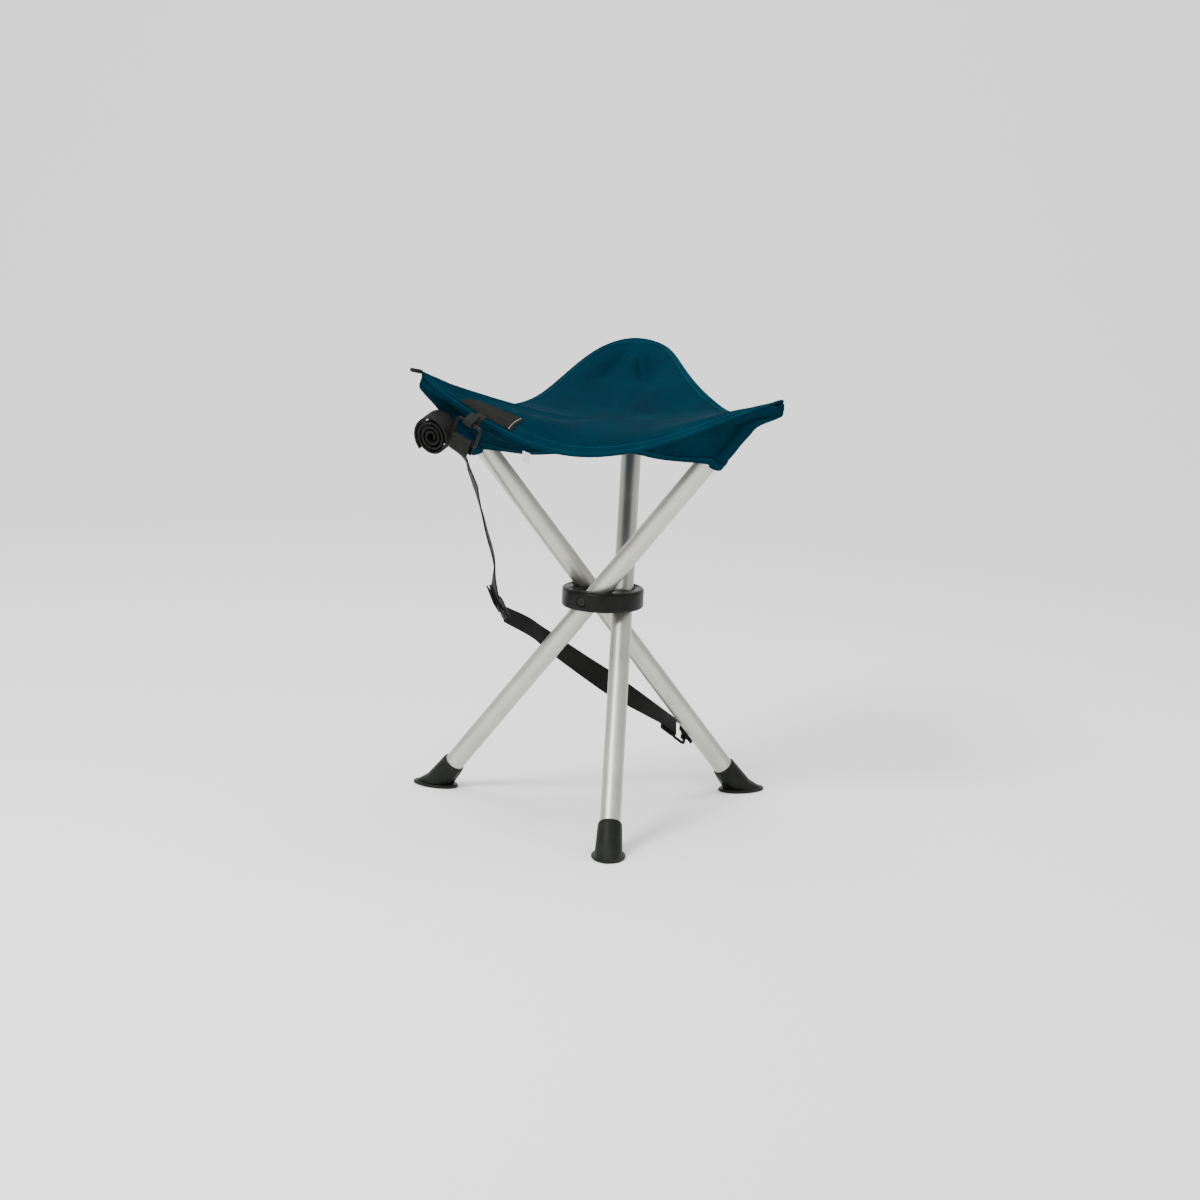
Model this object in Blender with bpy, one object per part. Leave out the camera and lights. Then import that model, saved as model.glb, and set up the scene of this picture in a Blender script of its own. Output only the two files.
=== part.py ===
"""Folding three leg stool: a slotted hub disc holds three hollow legs on pivot pins, and a cloth seat
hangs from their tops. Metres, +Z up, floor at z = 0, origin at the middle of the base of the whole box."""

import math

import bmesh
import bpy
import numpy as np
from mathutils import Matrix, Vector

# Frame: where the hub's axis stands in the model.
AXIS_X = 0.010752
AXIS_Y = 0.0021004

# Legs. A leg leans by LEAN from the floor when open, and passes PIVOT_OFFSET beside the hub's axis.
LEAN = math.radians(50.26)
PIVOT_OFFSET = 0.0199
PIVOT_Z = 0.2163
TUBE_R = 0.010
TUBE_WALL = 0.0012
TOP_REACH = 0.155
BASE_GAP = 0.0143
LEGS = {"a": 210.0, "b": -30.0, "c": 90.0}

# Hub and pivot pins.
HUB_R = 0.0405
HUB_HALF = 0.0097
HUB_ROUND = 0.0028
SLOT_R = 0.0104
SLOT_INNER = 0.0096
SLOT_OUTER = 0.0302
PIN_R = 0.0030
PIN_CLEAR = 0.00009
PIN_INNER = 0.0060
HEAD_R = 0.0046
HEAD_FROM = 0.0376
HEAD_TO = 0.0400

# Feet: a cuff round the tube on an oval pad.
CUFF_LENGTH = 0.035
CUFF_TOP_R = 0.0117
CUFF_BASE_R = 0.0130
PAD_LONG = 0.0254
PAD_WIDE = 0.0165
PAD_THICK = 0.0025

# Seat: a cloth triangle hanging from its corners. Each corner has a reach from the hub's axis, a height and a
# sharpness. Each edge has the height of its low point, how long it stays high at its first and last corner, and
# its scallop in plan.
CORNER_TURN = -5.74
CORNERS = {"b": (0.2040, 0.4340, 9.0), "c": (0.2000, 0.4505, 2.4), "a": (0.1955, 0.4420, 14.0)}
EDGES = {("b", "c"): (0.4040, 1.35, 3.20, -0.030), ("c", "a"): (0.3975, 2.60, 1.40, 0.045),
         ("a", "b"): (0.3690, 1.05, 1.45, 0.045)}
SEAT_MIDDLE = 0.394
SEAT_DISH = 1.8
SEAT_THICK = 0.0020
SEAT_OUT = (0.10, 0.20, 0.30, 0.40, 0.50, 0.60, 0.69, 0.77, 0.84, 0.89, 0.93, 0.965, 1.0)
SEAT_SPOKES = 72
POCKET_THICK = 0.0012
POCKET_REACH = 0.40
POCKET_MOUTH = 0.1985
POCKET_R = 0.0137

# Carry strap, its rings and its slider.
WEB_WIDE = 0.025
WEB_THICK = 0.0015
BAR_R = 0.0015
HOOK_R = BAR_R + 0.0004 + WEB_THICK / 2
RING_LONG = 0.033
ANCHOR_S = -0.1925
ANCHOR_BAR = 0.0139
ANCHOR_TURN = math.radians(145.08)
SLIDER_AT = (-0.1035, 0.0020, 0.2060)
SLIDER_LONG = (0.35, -0.75, -0.56)
SLIDER_DOWN = (0.45, 0.30, -0.85)
RING_AT = (-0.1315, -0.1115, 0.3905)
RING_WAY = (0.72, -0.64, -0.28)
RING_DOWN = (-0.30, 0.08, -0.95)

SEGMENTS = 32

for old in list(bpy.data.objects):
    bpy.data.objects.remove(old, do_unlink=True)


def material(name, colour, metallic, roughness):
    made = bpy.data.materials.new(name)
    made.use_nodes = True
    shader = made.node_tree.nodes["Principled BSDF"]
    shader.inputs["Base Color"].default_value = (*colour, 1.0)
    shader.inputs["Metallic"].default_value = metallic
    shader.inputs["Roughness"].default_value = roughness
    return made


LOOKS = {
    "tube": material("tube", (0.78, 0.77, 0.74), 1.0, 0.38),
    "steel": material("steel", (0.20, 0.20, 0.20), 1.0, 0.40),
    "plastic": material("plastic", (0.030, 0.032, 0.030), 0.0, 0.45),
    "rubber": material("rubber", (0.035, 0.037, 0.035), 0.0, 0.65),
    "cloth": material("cloth", (0.020, 0.130, 0.180), 0.0, 0.90),
    "webbing": material("webbing", (0.020, 0.021, 0.020), 0.0, 0.85),
    "label": material("label", (0.060, 0.065, 0.068), 0.0, 0.80),
    "tag": material("tag", (0.62, 0.62, 0.60), 0.0, 0.80),
}


def add(name, points, faces, look, frame=None):
    """One mesh object. Points are in the object's own frame."""
    mesh = bpy.data.meshes.new(name)
    mesh.from_pydata([tuple(p) for p in points], [], faces)
    work = bmesh.new()
    work.from_mesh(mesh)
    bmesh.ops.recalc_face_normals(work, faces=work.faces)
    work.to_mesh(mesh)
    work.free()
    made = bpy.data.objects.new(name, mesh)
    bpy.context.scene.collection.objects.link(made)
    made.matrix_world = frame if frame is not None else Matrix.Identity(4)
    if look:
        made.data.materials.append(LOOKS[look])
    else:
        made.hide_render = True
        made.display_type = "WIRE"
    return made


def lathe(name, profile, look, frame=None, ring=False, segments=SEGMENTS, squash=1.0):
    """Turns (radius, height) pairs about local Z. A ring profile closes on itself, others get end caps."""
    points = []
    for radius, height in profile:
        for k in range(segments):
            angle = 2.0 * math.pi * k / segments
            points.append((radius * math.cos(angle), radius * squash * math.sin(angle), height))
    faces = []
    rows = len(profile)
    for row in range(rows if ring else rows - 1):
        upper = (row + 1) % rows
        for k in range(segments):
            after = (k + 1) % segments
            faces.append((row * segments + k, row * segments + after, upper * segments + after, upper * segments + k))
    if not ring:
        faces.append(tuple(range(segments)))
        faces.append(tuple((rows - 1) * segments + k for k in range(segments)))
    return add(name, points, faces, look, frame)


def prism(name, outline, low, high, look, frame=None):
    """A polygon in local XZ drawn out along local Y from low to high."""
    count = len(outline)
    points = [(x, low, z) for x, z in outline] + [(x, high, z) for x, z in outline]
    faces = [tuple(range(count)), tuple(range(count, 2 * count))]
    for k in range(count):
        after = (k + 1) % count
        faces.append((k, after, count + after, count + k))
    return add(name, points, faces, look, frame)


def combine(target, other, operation="DIFFERENCE"):
    step = target.modifiers.new(other.name, "BOOLEAN")
    step.operation = operation
    step.solver = "EXACT"
    step.object = other


def shell(name, grid, thick, look, frame=None):
    """A sheet of even thickness about a grid of points, closed round its border."""
    grid = np.array(grid, float)
    rows, columns = grid.shape[:2]
    along = np.gradient(grid, axis=0)
    across = np.gradient(grid, axis=1)
    normal = np.cross(along, across)
    normal /= np.linalg.norm(normal, axis=2, keepdims=True)
    sides = np.concatenate([grid + normal * thick / 2, grid - normal * thick / 2]).reshape(-1, 3)
    back = rows * columns
    faces = []
    for r in range(rows - 1):
        for c in range(columns - 1):
            corner = r * columns + c
            quad = (corner, corner + 1, corner + columns + 1, corner + columns)
            faces.append(quad)
            faces.append(tuple(back + k for k in reversed(quad)))
    border = [(0, c) for c in range(columns - 1)] + [(r, columns - 1) for r in range(rows - 1)]
    border += [(rows - 1, c) for c in range(columns - 1, 0, -1)] + [(r, 0) for r in range(rows - 1, 0, -1)]
    loop = [r * columns + c for r, c in border]
    for k, first in enumerate(loop):
        second = loop[(k + 1) % len(loop)]
        faces.append((first, second, back + second, back + first))
    return add(name, sides, faces, look, frame)


def smooth(path, steps):
    """A Catmull-Rom curve through the points, with steps points to a span."""
    path = [np.array(p, float) for p in path]
    ends = [2 * path[0] - path[1]] + path + [2 * path[-1] - path[-2]]
    curve = []
    for k in range(1, len(ends) - 2):
        p0, p1, p2, p3 = ends[k - 1 : k + 3]
        for t in np.linspace(0.0, 1.0, steps, endpoint=False):
            curve.append(0.5 * (2 * p1 + (p2 - p0) * t + (2 * p0 - 5 * p1 + 4 * p2 - p3) * t**2
                                + (3 * p1 - p0 - 3 * p2 + p3) * t**3))
    return np.array(curve + [path[-1]])


def strip(name, path, wide_axes, wide, thick, look, frame=None):
    """Webbing: a rectangle swept along the path, its wide side along the given directions."""
    path = np.array(path, float)
    tangent = np.gradient(path, axis=0)
    tangent /= np.linalg.norm(tangent, axis=1, keepdims=True)
    side = np.array(wide_axes, float)
    side -= tangent * np.sum(side * tangent, axis=1, keepdims=True)
    side /= np.linalg.norm(side, axis=1, keepdims=True)
    normal = np.cross(tangent, side)
    points = []
    for centre, s, n in zip(path, side, normal):
        for x, y in ((-1, -1), (1, -1), (1, 1), (-1, 1)):
            points.append(centre + s * x * wide / 2 + n * y * thick / 2)
    faces = [(0, 1, 2, 3), tuple(4 * (len(path) - 1) + k for k in range(4))]
    for k in range(len(path) - 1):
        for c in range(4):
            after = (c + 1) % 4
            faces.append((4 * k + c, 4 * k + after, 4 * k + 4 + after, 4 * k + 4 + c))
    return add(name, points, faces, look, frame)


def wire_loop(name, path, radius, look, frame=None, sides=10):
    """A closed round bar along a closed path."""
    path = np.array(path, float)
    tangent = np.roll(path, -1, axis=0) - np.roll(path, 1, axis=0)
    tangent /= np.linalg.norm(tangent, axis=1, keepdims=True)
    flat = np.cross(path[0] - path[len(path) // 3], path[0] - path[len(path) // 2])
    flat /= np.linalg.norm(flat)
    points = []
    for centre, t in zip(path, tangent):
        out = np.cross(t, flat)
        out /= np.linalg.norm(out)
        for k in range(sides):
            angle = 2.0 * math.pi * k / sides
            points.append(centre + radius * (math.cos(angle) * out + math.sin(angle) * flat))
    faces = []
    for row in range(len(path)):
        upper = (row + 1) % len(path)
        for k in range(sides):
            after = (k + 1) % sides
            faces.append((row * sides + k, row * sides + after, upper * sides + after, upper * sides + k))
    return add(name, points, faces, look, frame)


def rounded_loop(long, wide, corner, steps=4):
    """A rounded rectangle's outline about the origin, in XY."""
    outline = []
    for cx, cy, start in ((1, 1, 0.0), (-1, 1, 0.5), (-1, -1, 1.0), (1, -1, 1.5)):
        for k in range(steps + 1):
            angle = math.pi * (start + 0.5 * k / steps)
            outline.append((cx * (long / 2 - corner) + corner * math.cos(angle),
                            cy * (wide / 2 - corner) + corner * math.sin(angle), 0.0))
    return outline


def frame_of(origin, x_axis, z_axis):
    """A right-handed frame at origin with the given Z, and X as near as it can be to x_axis."""
    z = Vector(z_axis).normalized()
    y = z.cross(Vector(x_axis)).normalized()
    x = y.cross(z)
    rows = Matrix((x, y, z)).transposed().to_4x4()
    rows.translation = Vector(origin)
    return rows


def directions(leg):
    """Outward direction of the leg's top, and the direction of its pivot pin."""
    angle = math.radians(LEGS[leg])
    return Vector((math.cos(angle), math.sin(angle), 0)), Vector((math.sin(angle), -math.cos(angle), 0))


def pivot(leg):
    return Vector((AXIS_X, AXIS_Y, PIVOT_Z)) + directions(leg)[1] * PIVOT_OFFSET


def leg_frame(leg):
    """Origin on the pivot, Z up along the leg, Y along the pin, X on the leg's upper side."""
    out, pin = directions(leg)
    along = out * math.cos(LEAN) + Vector((0, 0, math.sin(LEAN)))
    return frame_of(pivot(leg), pin.cross(along), along)


def hub_frame(leg):
    """Origin on the pivot, Z up, Y along the pin outward."""
    out, pin = directions(leg)
    return frame_of(pivot(leg), pin.cross(Vector((0, 0, 1))), (0, 0, 1))


def pin_frame(leg):
    """Origin on the hub's axis at pivot height, Z along the pin outward."""
    return frame_of((AXIS_X, AXIS_Y, PIVOT_Z), (0, 0, 1), directions(leg)[1])


FOOT_S = PIVOT_Z / math.sin(LEAN)
TOP_S = TOP_REACH / math.cos(LEAN)


def ease(t):
    t = min(max(t, 0.0), 1.0)
    return t * t * (3 - 2 * t)


def edge_share(angle):
    """The edge in that direction: its corners, the angle from the first in degrees, and the share along it."""
    turn = (angle - LEGS["b"] - CORNER_TURN) % 360.0
    side = min(int(turn // 120.0), 2)
    x = turn - 120.0 * side
    t = 0.5 + math.tan(math.radians(x - 60)) / (2 * math.tan(math.radians(60)))
    return ("b", "c", "a")[side], ("c", "a", "b")[side], x, min(max(t, 0.0), 1.0)


def rim(angle):
    """Reach from the hub's axis and height of the seat's edge, in the direction of that angle in degrees."""
    first, last, x, t = edge_share(angle)
    f = x / 120.0
    reach1, high1, sharp1 = CORNERS[first]
    reach2, high2, sharp2 = CORNERS[last]
    low, hold1, hold2, scallop = EDGES[first, last]
    sharp = 11.0 + (sharp1 - 11.0) * (1 - ease(f / 0.45)) + (sharp2 - 11.0) * (1 - ease((1 - f) / 0.45))
    total = sum(max(0.0, math.cos(math.radians(x - e))) ** sharp for e in (-60, 60, 180))
    reach = 0.5 * (2 / total) ** (1 / sharp) * (reach1 + (reach2 - reach1) * ease(f))
    reach *= 1 - scallop * math.sin(math.pi * f) ** 4
    t = t**hold1 * (1 - t) + (1 - (1 - t) ** hold2) * t
    return reach, high1 + (high2 - high1) * t - ((high1 + high2) / 2 - low) * 4 * t * (1 - t)


def rolled(angle, inset):
    """How far the cloth stands above the line of its edge: the hem turns down, most of all along the front."""
    first, last, _, t = edge_share(angle)
    high = 0.0030
    if (first, last) == ("a", "b"):
        high = 0.0075 + 0.0085 * math.exp(-(((t - 0.27) / 0.13) ** 2))
    high *= ease(t / 0.12) * ease((1 - t) / 0.12)
    return high * (1 - math.exp(-inset / 0.010)) * math.exp(-((inset / 0.060) ** 2))


def seat_point(angle, out, lift=0.0):
    """A point of the seat's middle surface: out runs from 0 at the hub's axis to 1 at the edge."""
    reach, height = rim(angle)
    a = math.radians(angle)
    return np.array((AXIS_X + reach * out * math.cos(a), AXIS_Y + reach * out * math.sin(a),
                     SEAT_MIDDLE + (height - SEAT_MIDDLE) * out**SEAT_DISH + lift + rolled(angle, reach * (1 - out))))


def edge_angle(leg, other, t):
    """The direction of the point that is t of the way along the edge from leg's corner to the other."""
    x = 60 + math.degrees(math.atan((2 * t - 1) * math.tan(math.radians(60))))
    turn = (LEGS[other] - LEGS[leg]) % 360.0
    return LEGS[leg] + CORNER_TURN + (x if turn < 180 else -x)


def tip(leg):
    """The seat's corner above the leg's top."""
    return seat_point(LEGS[leg] + CORNER_TURN, 1.0)


def build_hub():
    h, r, e = HUB_HALF, HUB_R, HUB_ROUND
    profile = [(0.004, -h), (r - e, -h)]
    profile += [(r - e + e * math.sin(k * math.pi / 8), -h + e - e * math.cos(k * math.pi / 8)) for k in (1, 2, 3, 4)]
    profile += [(radius, -height) for radius, height in reversed(profile[1:])]
    profile += [(0.004, h)]
    hub = lathe("hub_ring", profile, "plastic", Matrix.Translation((AXIS_X, AXIS_Y, PIVOT_Z)), segments=64)
    reach = h + 0.002
    slope = 1.0 / math.tan(LEAN)
    wide = SLOT_R / math.sin(LEAN)
    knee = (SLOT_R - wide) / slope
    bowtie = [(SLOT_R, -reach), (SLOT_R, knee), (wide + slope * reach, reach)]
    bowtie += [(-x, -z) for x, z in bowtie]
    # Slot outlines run along the leg's outward direction, which is minus X of the hub frame.
    bowtie = [(-x, z) for x, z in bowtie]
    for leg in LEGS:
        slot = prism(f"cut_slot_{leg}", bowtie, SLOT_INNER - PIVOT_OFFSET, SLOT_OUTER - PIVOT_OFFSET, None,
                     hub_frame(leg))
        bore = lathe(f"cut_bore_{leg}", [(PIN_R + PIN_CLEAR, PIN_INNER - 0.0004), (PIN_R + PIN_CLEAR, r + 0.002)],
                     None, pin_frame(leg))
        seat = lathe(f"cut_head_{leg}", [(HEAD_R + 0.0003, HEAD_FROM - 0.0003), (HEAD_R + 0.0003, r + 0.003)],
                     None, pin_frame(leg))
        combine(hub, slot)
        combine(hub, bore)
        combine(hub, seat)


def build_pin(leg):
    profile = [(PIN_R * 0.7, PIN_INNER), (PIN_R, PIN_INNER + 0.0008), (PIN_R, HEAD_FROM), (HEAD_R, HEAD_FROM),
               (HEAD_R, HEAD_TO - 0.0006), (HEAD_R - 0.0006, HEAD_TO)]
    pin = lathe(f"pivot_pin_{leg}", profile, "steel", pin_frame(leg))
    socket = lathe(f"cut_socket_{leg}", [(0.0022, HEAD_TO - 0.0015), (0.0022, HEAD_TO + 0.002)], None,
                   pin_frame(leg), segments=6)
    combine(pin, socket)


def build_leg(leg):
    frame = leg_frame(leg)
    low, high, inner = BASE_GAP - FOOT_S, TOP_S, TUBE_R - TUBE_WALL
    tube = lathe(f"leg_tube_{leg}", [(inner, low), (TUBE_R, low), (TUBE_R, high), (inner, high)], "tube", frame,
                 ring=True)
    bore = lathe(f"cut_tube_bore_{leg}", [(PIN_R + PIN_CLEAR, -0.02), (PIN_R + PIN_CLEAR, 0.02)], None,
                 frame @ Matrix.Rotation(-math.pi / 2, 4, "X"))
    combine(tube, bore)
    plug = [(inner - 0.0003, high - 0.018), (inner - 0.0003, high + 0.0003), (TUBE_R, high + 0.0003)]
    plug += [(TUBE_R, high + 0.0015), (TUBE_R * 0.88, high + 0.0030), (TUBE_R * 0.55, high + 0.0040)]
    plug += [(TUBE_R * 0.12, high + 0.0044)]
    lathe(f"end_plug_{leg}", plug, "plastic", frame)
    build_foot(leg, frame)


def build_foot(leg, frame):
    """A cuff trimmed inside the pad's thickness, joined to the pad and bored for the tube."""
    top = CUFF_LENGTH - FOOT_S
    cuff = [(CUFF_BASE_R, -FOOT_S - 0.022), (CUFF_BASE_R, -FOOT_S + 0.010), (CUFF_TOP_R, top - 0.003),
            (CUFF_TOP_R - 0.0001, top - 0.0008), (CUFF_TOP_R - 0.0006, top)]
    foot = lathe(f"foot_{leg}", cuff, "rubber", frame)
    out = directions(leg)[0]
    base = pivot(leg) - out * (PIVOT_Z / math.tan(LEAN))
    ground = frame_of((base.x, base.y, 0.0), out, (0, 0, 1))
    box = prism(f"cut_floor_{leg}", [(-0.1, -0.1), (0.1, -0.1), (0.1, 0.0011), (-0.1, 0.0011)], -0.1, 0.1, None,
                ground)
    pad_profile = [(PAD_LONG - 0.0012, 0.0), (PAD_LONG - 0.0003, 0.0003), (PAD_LONG, 0.0010),
                   (PAD_LONG - 0.0002, PAD_THICK - 0.0006), (PAD_LONG - 0.0009, PAD_THICK)]
    pad = lathe(f"join_pad_{leg}", pad_profile, None, ground, segments=40, squash=PAD_WIDE / PAD_LONG)
    bore = lathe(f"cut_socket_bore_{leg}", [(TUBE_R + 0.0003, BASE_GAP - 0.0003 - FOOT_S),
                                            (TUBE_R + 0.0003, top + 0.01)], None, frame)
    combine(foot, box)
    combine(foot, pad, "UNION")
    combine(foot, bore)


def build_seat():
    half, rings = SEAT_THICK / 2, len(SEAT_OUT)
    start = LEGS["b"] + CORNER_TURN
    angles = [start + 360.0 * k / SEAT_SPOKES for k in range(SEAT_SPOKES)]
    middle = np.array([[seat_point(angle, out) for angle in angles] for out in SEAT_OUT])
    outward = np.gradient(middle, axis=0)
    around = np.roll(middle, -1, axis=1) - np.roll(middle, 1, axis=1)
    normal = np.cross(outward, around)
    normal /= np.linalg.norm(normal, axis=2, keepdims=True)
    centre = seat_point(0.0, 0.0)
    points = [centre + (0, 0, half), centre - (0, 0, half)]
    points += list((middle + normal * half).reshape(-1, 3)) + list((middle - normal * half).reshape(-1, 3))
    upper, lower = 2, 2 + rings * SEAT_SPOKES
    faces = []
    for k in range(SEAT_SPOKES):
        after = (k + 1) % SEAT_SPOKES
        faces.append((0, upper + k, upper + after))
        faces.append((1, lower + after, lower + k))
        for ring in range(rings - 1):
            inner, outer = ring * SEAT_SPOKES, (ring + 1) * SEAT_SPOKES
            faces.append((upper + inner + k, upper + outer + k, upper + outer + after, upper + inner + after))
            faces.append((lower + inner + after, lower + outer + after, lower + outer + k, lower + inner + k))
        last = (rings - 1) * SEAT_SPOKES
        faces.append((upper + last + k, lower + last + k, lower + last + after, upper + last + after))
    add("seat_panel", points, faces, "cloth")


def build_pocket(leg):
    """A cloth wrap from one seat edge, under the leg's end, to the other edge. Its mouth faces down the leg."""
    frame = leg_frame(leg)
    back = frame.inverted()
    others = [k for k in LEGS if k != leg]
    pin = directions(leg)[1]
    others.sort(key=lambda k: (Vector(tip(k)) - Vector(tip(leg))).dot(pin))
    corner = back @ Vector(tip(leg))
    grid = []
    for step in np.linspace(0.0, 1.0, 12):
        t = 0.07 + (POCKET_REACH - 0.07) * step
        ends = [back @ Vector(seat_point(edge_angle(leg, other, t), 0.985, lift=-0.0046)) for other in others]
        station = corner.z - 0.003 + (POCKET_MOUTH - corner.z + 0.003) * step
        low = -corner.x + 0.0045 + (POCKET_R + corner.x - 0.0045) * ease(step / 0.40)
        radius = 0.0020 + (POCKET_R - 0.0020) * ease(step / 0.40)
        row = []
        for angle in (-78, -52, -26, 0, 26, 52, 78):
            a = math.radians(angle)
            row.append(np.array((-low + radius * (1 - math.cos(a)), radius * math.sin(a), station)))
        first, last = np.array(ends[0]), np.array(ends[1])
        row = [first, first * 0.62 + row[0] * 0.38 + (-0.0040, 0, 0)] + row
        row += [last * 0.62 + row[-1] * 0.38 + (-0.0040, 0, 0), last]
        grid.append(row)
    shell(f"seat_pocket_{leg}", grid, POCKET_THICK, "cloth", frame)


def build_seat_trim():
    """A blank woven label on the front hem, a care tag below it and a tape tab on the left corner."""
    grid = []
    for t in np.linspace(0.120, 0.268, 8):
        angle = edge_angle("a", "b", t)
        grid.append([seat_point(angle, out, lift=0.0034) for out in (0.970, 0.930, 0.890, 0.850)])
    shell("seat_label", grid, 0.0007, "label")
    grid = []
    for t in (0.305, 0.325):
        edge = seat_point(edge_angle("a", "b", t), 0.99)
        grid.append([edge - np.array((0, 0, drop)) for drop in (0.0090, 0.0140, 0.0190)])
    shell("care_tag", grid, 0.0005, "tag")
    corner = tip("a")
    out = corner - seat_point(LEGS["a"] + CORNER_TURN, 0.97)
    out = np.array(unit(out))
    path = [corner + out * s for s in (0.0012, 0.0052, 0.0092)]
    side = np.array(unit(np.cross(out, (0, 0, 1))))
    strip("corner_tab", path, [side] * 3, 0.009, 0.0016, "webbing")


def unit(v):
    v = np.array(v, float)
    return v / np.linalg.norm(v)


def across(v, axis):
    """The part of v square to the axis, at length 1."""
    return unit(v - np.dot(v, axis) * np.array(axis))


def moved(point):
    """A point given from the hub's axis, in the model's frame."""
    return np.array(point, float) + (AXIS_X, AXIS_Y, 0.0)


def hook(centre, toward, bar, side, start, back):
    """Webbing that comes up to a bar, turns round it and runs back."""
    t = across(toward, bar)
    m = side * np.cross(bar, t)
    arc = [math.pi * k / 8 for k in range(9)]
    turn = [centre + HOOK_R * (m * math.cos(a) + t * math.sin(a)) for a in arc]
    return [centre + m * HOOK_R - t * start] + turn + [centre - m * HOOK_R - t * back]


def anchor_axes():
    """Leg a's frame and, in it, the way to the anchor's bar, the bar's own way and the leg's way up."""
    frame = leg_frame("a")
    way = np.array((math.cos(ANCHOR_TURN), math.sin(ANCHOR_TURN), 0.0))
    bar = np.array((-way[1], way[0], 0.0))
    return frame, way, -bar, np.array((0.0, 0.0, 1.0))


def anchor_points():
    """World centres of the ring's two long bars, and their direction."""
    frame, way, bar, up = anchor_axes()
    held = way * ANCHOR_BAR + up * ANCHOR_S
    free = held + 0.0145 * unit(0.96 * up + 0.28 * way)
    turn = frame.to_3x3()
    return np.array(frame @ Vector(held)), np.array(frame @ Vector(free)), np.array(turn @ Vector(bar))


def build_anchor():
    """A riveted lug on leg a, and the rectangular ring that swings in it."""
    leg, way, bar, up = anchor_axes()
    place = frame_of(leg @ Vector(up * ANCHOR_S), leg.to_3x3() @ Vector(way), leg.to_3x3() @ Vector(up))
    base, top = TUBE_R + 0.0003, 0.0024
    outline = [(base, -0.0105), (base, 0.0105), (base + top, 0.0105), (base + top, 0.0045)]
    outline += [(ANCHOR_BAR + 0.0034 * math.cos(a), 0.0034 * math.sin(a))
                for a in (math.radians(k) for k in (75, 45, 15, -15, -45, -75))]
    outline += [(base + top, -0.0045), (base + top, -0.0105)]
    lug = prism("anchor_lug", outline, -0.0045, 0.0045, "plastic", place)
    hole = lathe("cut_lug_hole", [(BAR_R + 0.0003, -0.01), (BAR_R + 0.0003, 0.01)], None,
                 place @ Matrix.Translation((ANCHOR_BAR, 0, 0)) @ Matrix.Rotation(-math.pi / 2, 4, "X"))
    combine(lug, hole)
    tube = bpy.data.objects["leg_tube_a"]
    for name, s in (("upper", 0.0077), ("lower", -0.0077)):
        out = place @ Matrix.Translation((0, 0, s)) @ Matrix.Rotation(math.pi / 2, 4, "Y")
        shank = lathe(f"cut_rivet_{name}", [(0.0014, 0.002), (0.0014, 0.02)], None, out, segments=16)
        combine(lug, shank)
        combine(tube, shank)
        lathe(f"anchor_rivet_{name}", [(0.0011, 0.0080), (0.0011, base + top + 0.0003), (0.0023, base + top + 0.0003),
                                       (0.0022, base + top + 0.0009), (0.0012, base + top + 0.0014)],
              "steel", out, segments=16)
    held, free, direction = anchor_points()
    ring = frame_of(held, direction, np.cross(direction, free - held))
    half = np.linalg.norm(free - held) / 2
    path = [(x, y + half, z) for x, y, z in rounded_loop(RING_LONG, 2 * half, 0.0035)]
    wire_loop("anchor_ring", path, BAR_R, "plastic", ring)


def build_slider():
    """A two slot webbing slider: a flat rounded frame with a round bar across its middle."""
    long, down = unit(SLIDER_LONG), across(SLIDER_DOWN, unit(SLIDER_LONG))
    place = frame_of(moved(SLIDER_AT), long, np.cross(long, down))
    slider = wire_loop("strap_slider", rounded_loop(RING_LONG, 0.0190, 0.0035), BAR_R, "plastic", place)
    bar = lathe("join_bar", [(BAR_R * 0.95, -RING_LONG / 2), (BAR_R * 0.95, RING_LONG / 2)], None,
                place @ Matrix.Rotation(math.pi / 2, 4, "Y"), segments=10)
    combine(slider, bar, "UNION")
    return moved(SLIDER_AT), long, down


def turning(keys, count):
    """Wide directions along a strap, from a few that are fixed at shares of its length."""
    shares = [share for share, _ in keys]
    ways = np.array([way for _, way in keys])
    return [unit([np.interp(t, shares, ways[:, k]) for k in range(3)]) for t in np.linspace(0, 1, count)]


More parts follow.
